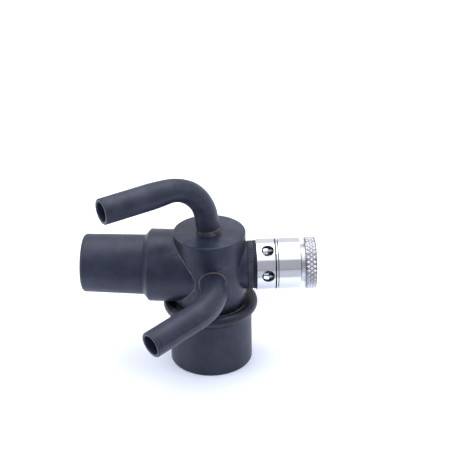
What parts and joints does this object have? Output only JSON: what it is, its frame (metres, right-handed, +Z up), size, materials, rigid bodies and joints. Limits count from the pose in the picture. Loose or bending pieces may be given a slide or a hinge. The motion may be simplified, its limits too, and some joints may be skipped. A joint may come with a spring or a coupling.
{
  "type": "breathing circuit manifold",
  "caption": "Black rubber breathing manifold: closed chamber on a push-on socket, hose cone, bent gas tubes and a screw-adjusted aluminium relief valve.",
  "frame": {"origin": "centre of the base socket's open mouth, on the chamber's axis", "axes": "+Z up along the chamber's axis, +X out along the relief valve's axis, the front gas tube leaves towards -Y"},
  "size_m": [0.0895, 0.068, 0.0791],
  "materials": {
    "black_rubber": "satin moulded, bluish black",
    "washer_rubber": "smooth black",
    "facing_rubber": "smooth black",
    "black_band": "fine diamond texture",
    "cement": "dried rubber cement, matte tan grey",
    "turned_aluminium": "bright turned, knob diamond knurled",
    "stainless": "drawn wire",
    "brass": "turned",
    "seat_plastic": "moulded"
  },
  "bodies": {
    "manifold": {"main_chamber": "black_rubber", "top_cap": "black_rubber", "base_socket": "black_rubber", "base_collar": "black_rubber", "hose_sleeve": "black_rubber", "hose_cone": "black_rubber", "upper_gas_tube": "black_rubber", "upper_tube_collar": "cement", "front_gas_tube": "black_rubber", "front_tube_patch": "black_rubber", "valve_port": "black_rubber", "port_insert": "brass", "port_band": "black_band", "sealing_washer": "washer_rubber", "valve_body": "turned_aluminium", "valve_seat": "seat_plastic", "lock_ring": "turned_aluminium", "bonnet": "turned_aluminium"},
    "pressure_cup": {"spring_cup": "turned_aluminium", "valve_spring": "stainless"},
    "knob": {"adjusting_screw": "turned_aluminium", "screw_stop_ring": "stainless", "control_knob": "turned_aluminium"},
    "disc": {"disc_facing": "facing_rubber", "valve_disc": "turned_aluminium", "disc_stem": "stainless"}
  },
  "joints": [
    {"name": "screw_travel", "type": "slide", "parent": "manifold", "child": "pressure_cup", "axis": [1, 0, 0], "range_m": [-0.001, 0.003], "deforming": ["valve_spring"]},
    {"name": "knob_turn", "type": "hinge", "parent": "pressure_cup", "child": "knob", "pos_m": [0.0358, 0, 0.03975], "axis": [1, 0, 0], "range_deg": [-240, 720]},
    {"name": "disc_lift", "type": "slide", "parent": "manifold", "child": "disc", "axis": [1, 0, 0], "range_m": [0, 0.0008], "stiffness_N_per_m": 150, "springref_m": -0.0015}
  ],
  "couplings": [
    {"joint": "knob_turn", "follows": "screw_travel", "rad_per_m": 4188.8}
  ]
}
